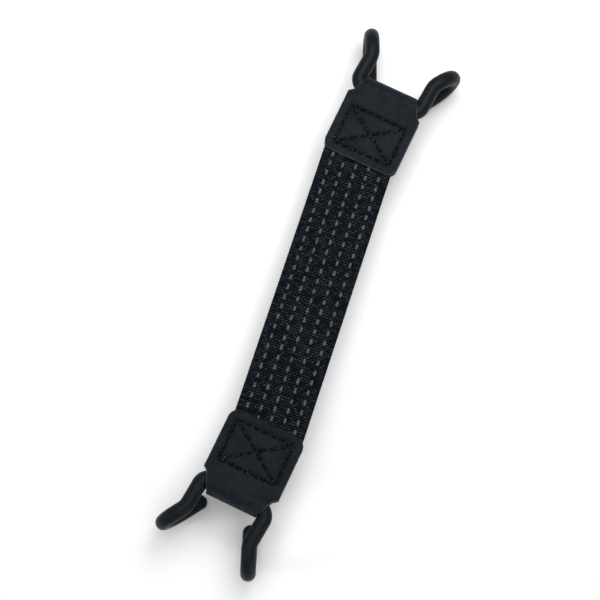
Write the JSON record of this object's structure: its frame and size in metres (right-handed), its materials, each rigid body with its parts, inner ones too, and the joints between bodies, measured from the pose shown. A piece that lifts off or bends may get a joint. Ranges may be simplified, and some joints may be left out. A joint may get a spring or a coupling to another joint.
{
  "type": "elastic phone hand strap",
  "caption": "Elastic hand strap with sewn leather ends and double wire hooks in rubber sleeves that grip two opposite corners of a phone.",
  "frame": {"origin": "midway between the two leather ends, at the height of the hook tips' undersides", "axes": "+Y along the elastic band, +X across it, +Z away from the back of the phone"},
  "size_m": [0.0424, 0.162, 0.0179],
  "materials": {
    "woven_elastic": "matte ribbed weave",
    "core_rubber": "matt",
    "grip_thread": "soft, slightly raised",
    "leather": "fine grain, semi-matt",
    "sewing_thread": "waxed",
    "steel_wire": "drawn wire",
    "rubber_sleeve": "satin"
  },
  "bodies": {
    "band": {"woven_band": "woven_elastic", "rubber_strands": "core_rubber", "grip_thread_1": "grip_thread", "grip_thread_2": "grip_thread", "grip_thread_3": "grip_thread", "grip_thread_4": "grip_thread", "grip_thread_5": "grip_thread", "leather_wrap_a": "leather", "needle_thread_a": "sewing_thread", "bobbin_thread_a": "sewing_thread"},
    "end_b": {"leather_wrap_b": "leather", "needle_thread_b": "sewing_thread", "bobbin_thread_b": "sewing_thread"},
    "hook_a": {"hook_wire_a": "steel_wire", "bar_sleeve_a": "rubber_sleeve", "prong_sleeve_a_left": "rubber_sleeve", "prong_sleeve_a_right": "rubber_sleeve"},
    "hook_b": {"hook_wire_b": "steel_wire", "bar_sleeve_b": "rubber_sleeve", "prong_sleeve_b_left": "rubber_sleeve", "prong_sleeve_b_right": "rubber_sleeve"}
  },
  "joints": [
    {"name": "band_stretch", "type": "slide", "parent": "band", "child": "end_b", "axis": [0, -1, 0], "range_m": [0, 0.035], "stiffness_N_per_m": 260, "deforming": ["woven_band", "rubber_strands", "grip_thread_1", "grip_thread_2", "grip_thread_3", "grip_thread_4", "grip_thread_5"]},
    {"name": "hook_a_swing", "type": "hinge", "parent": "band", "child": "hook_a", "pos_m": [0.00229, 0.05969, 0.01475], "axis": [0.9829, -0.184, 0], "range_deg": [-20, 60]},
    {"name": "hook_b_swing", "type": "hinge", "parent": "end_b", "child": "hook_b", "pos_m": [-0.00258, -0.05964, 0.01475], "axis": [-0.9767, 0.2147, 0], "range_deg": [-20, 60]}
  ]
}
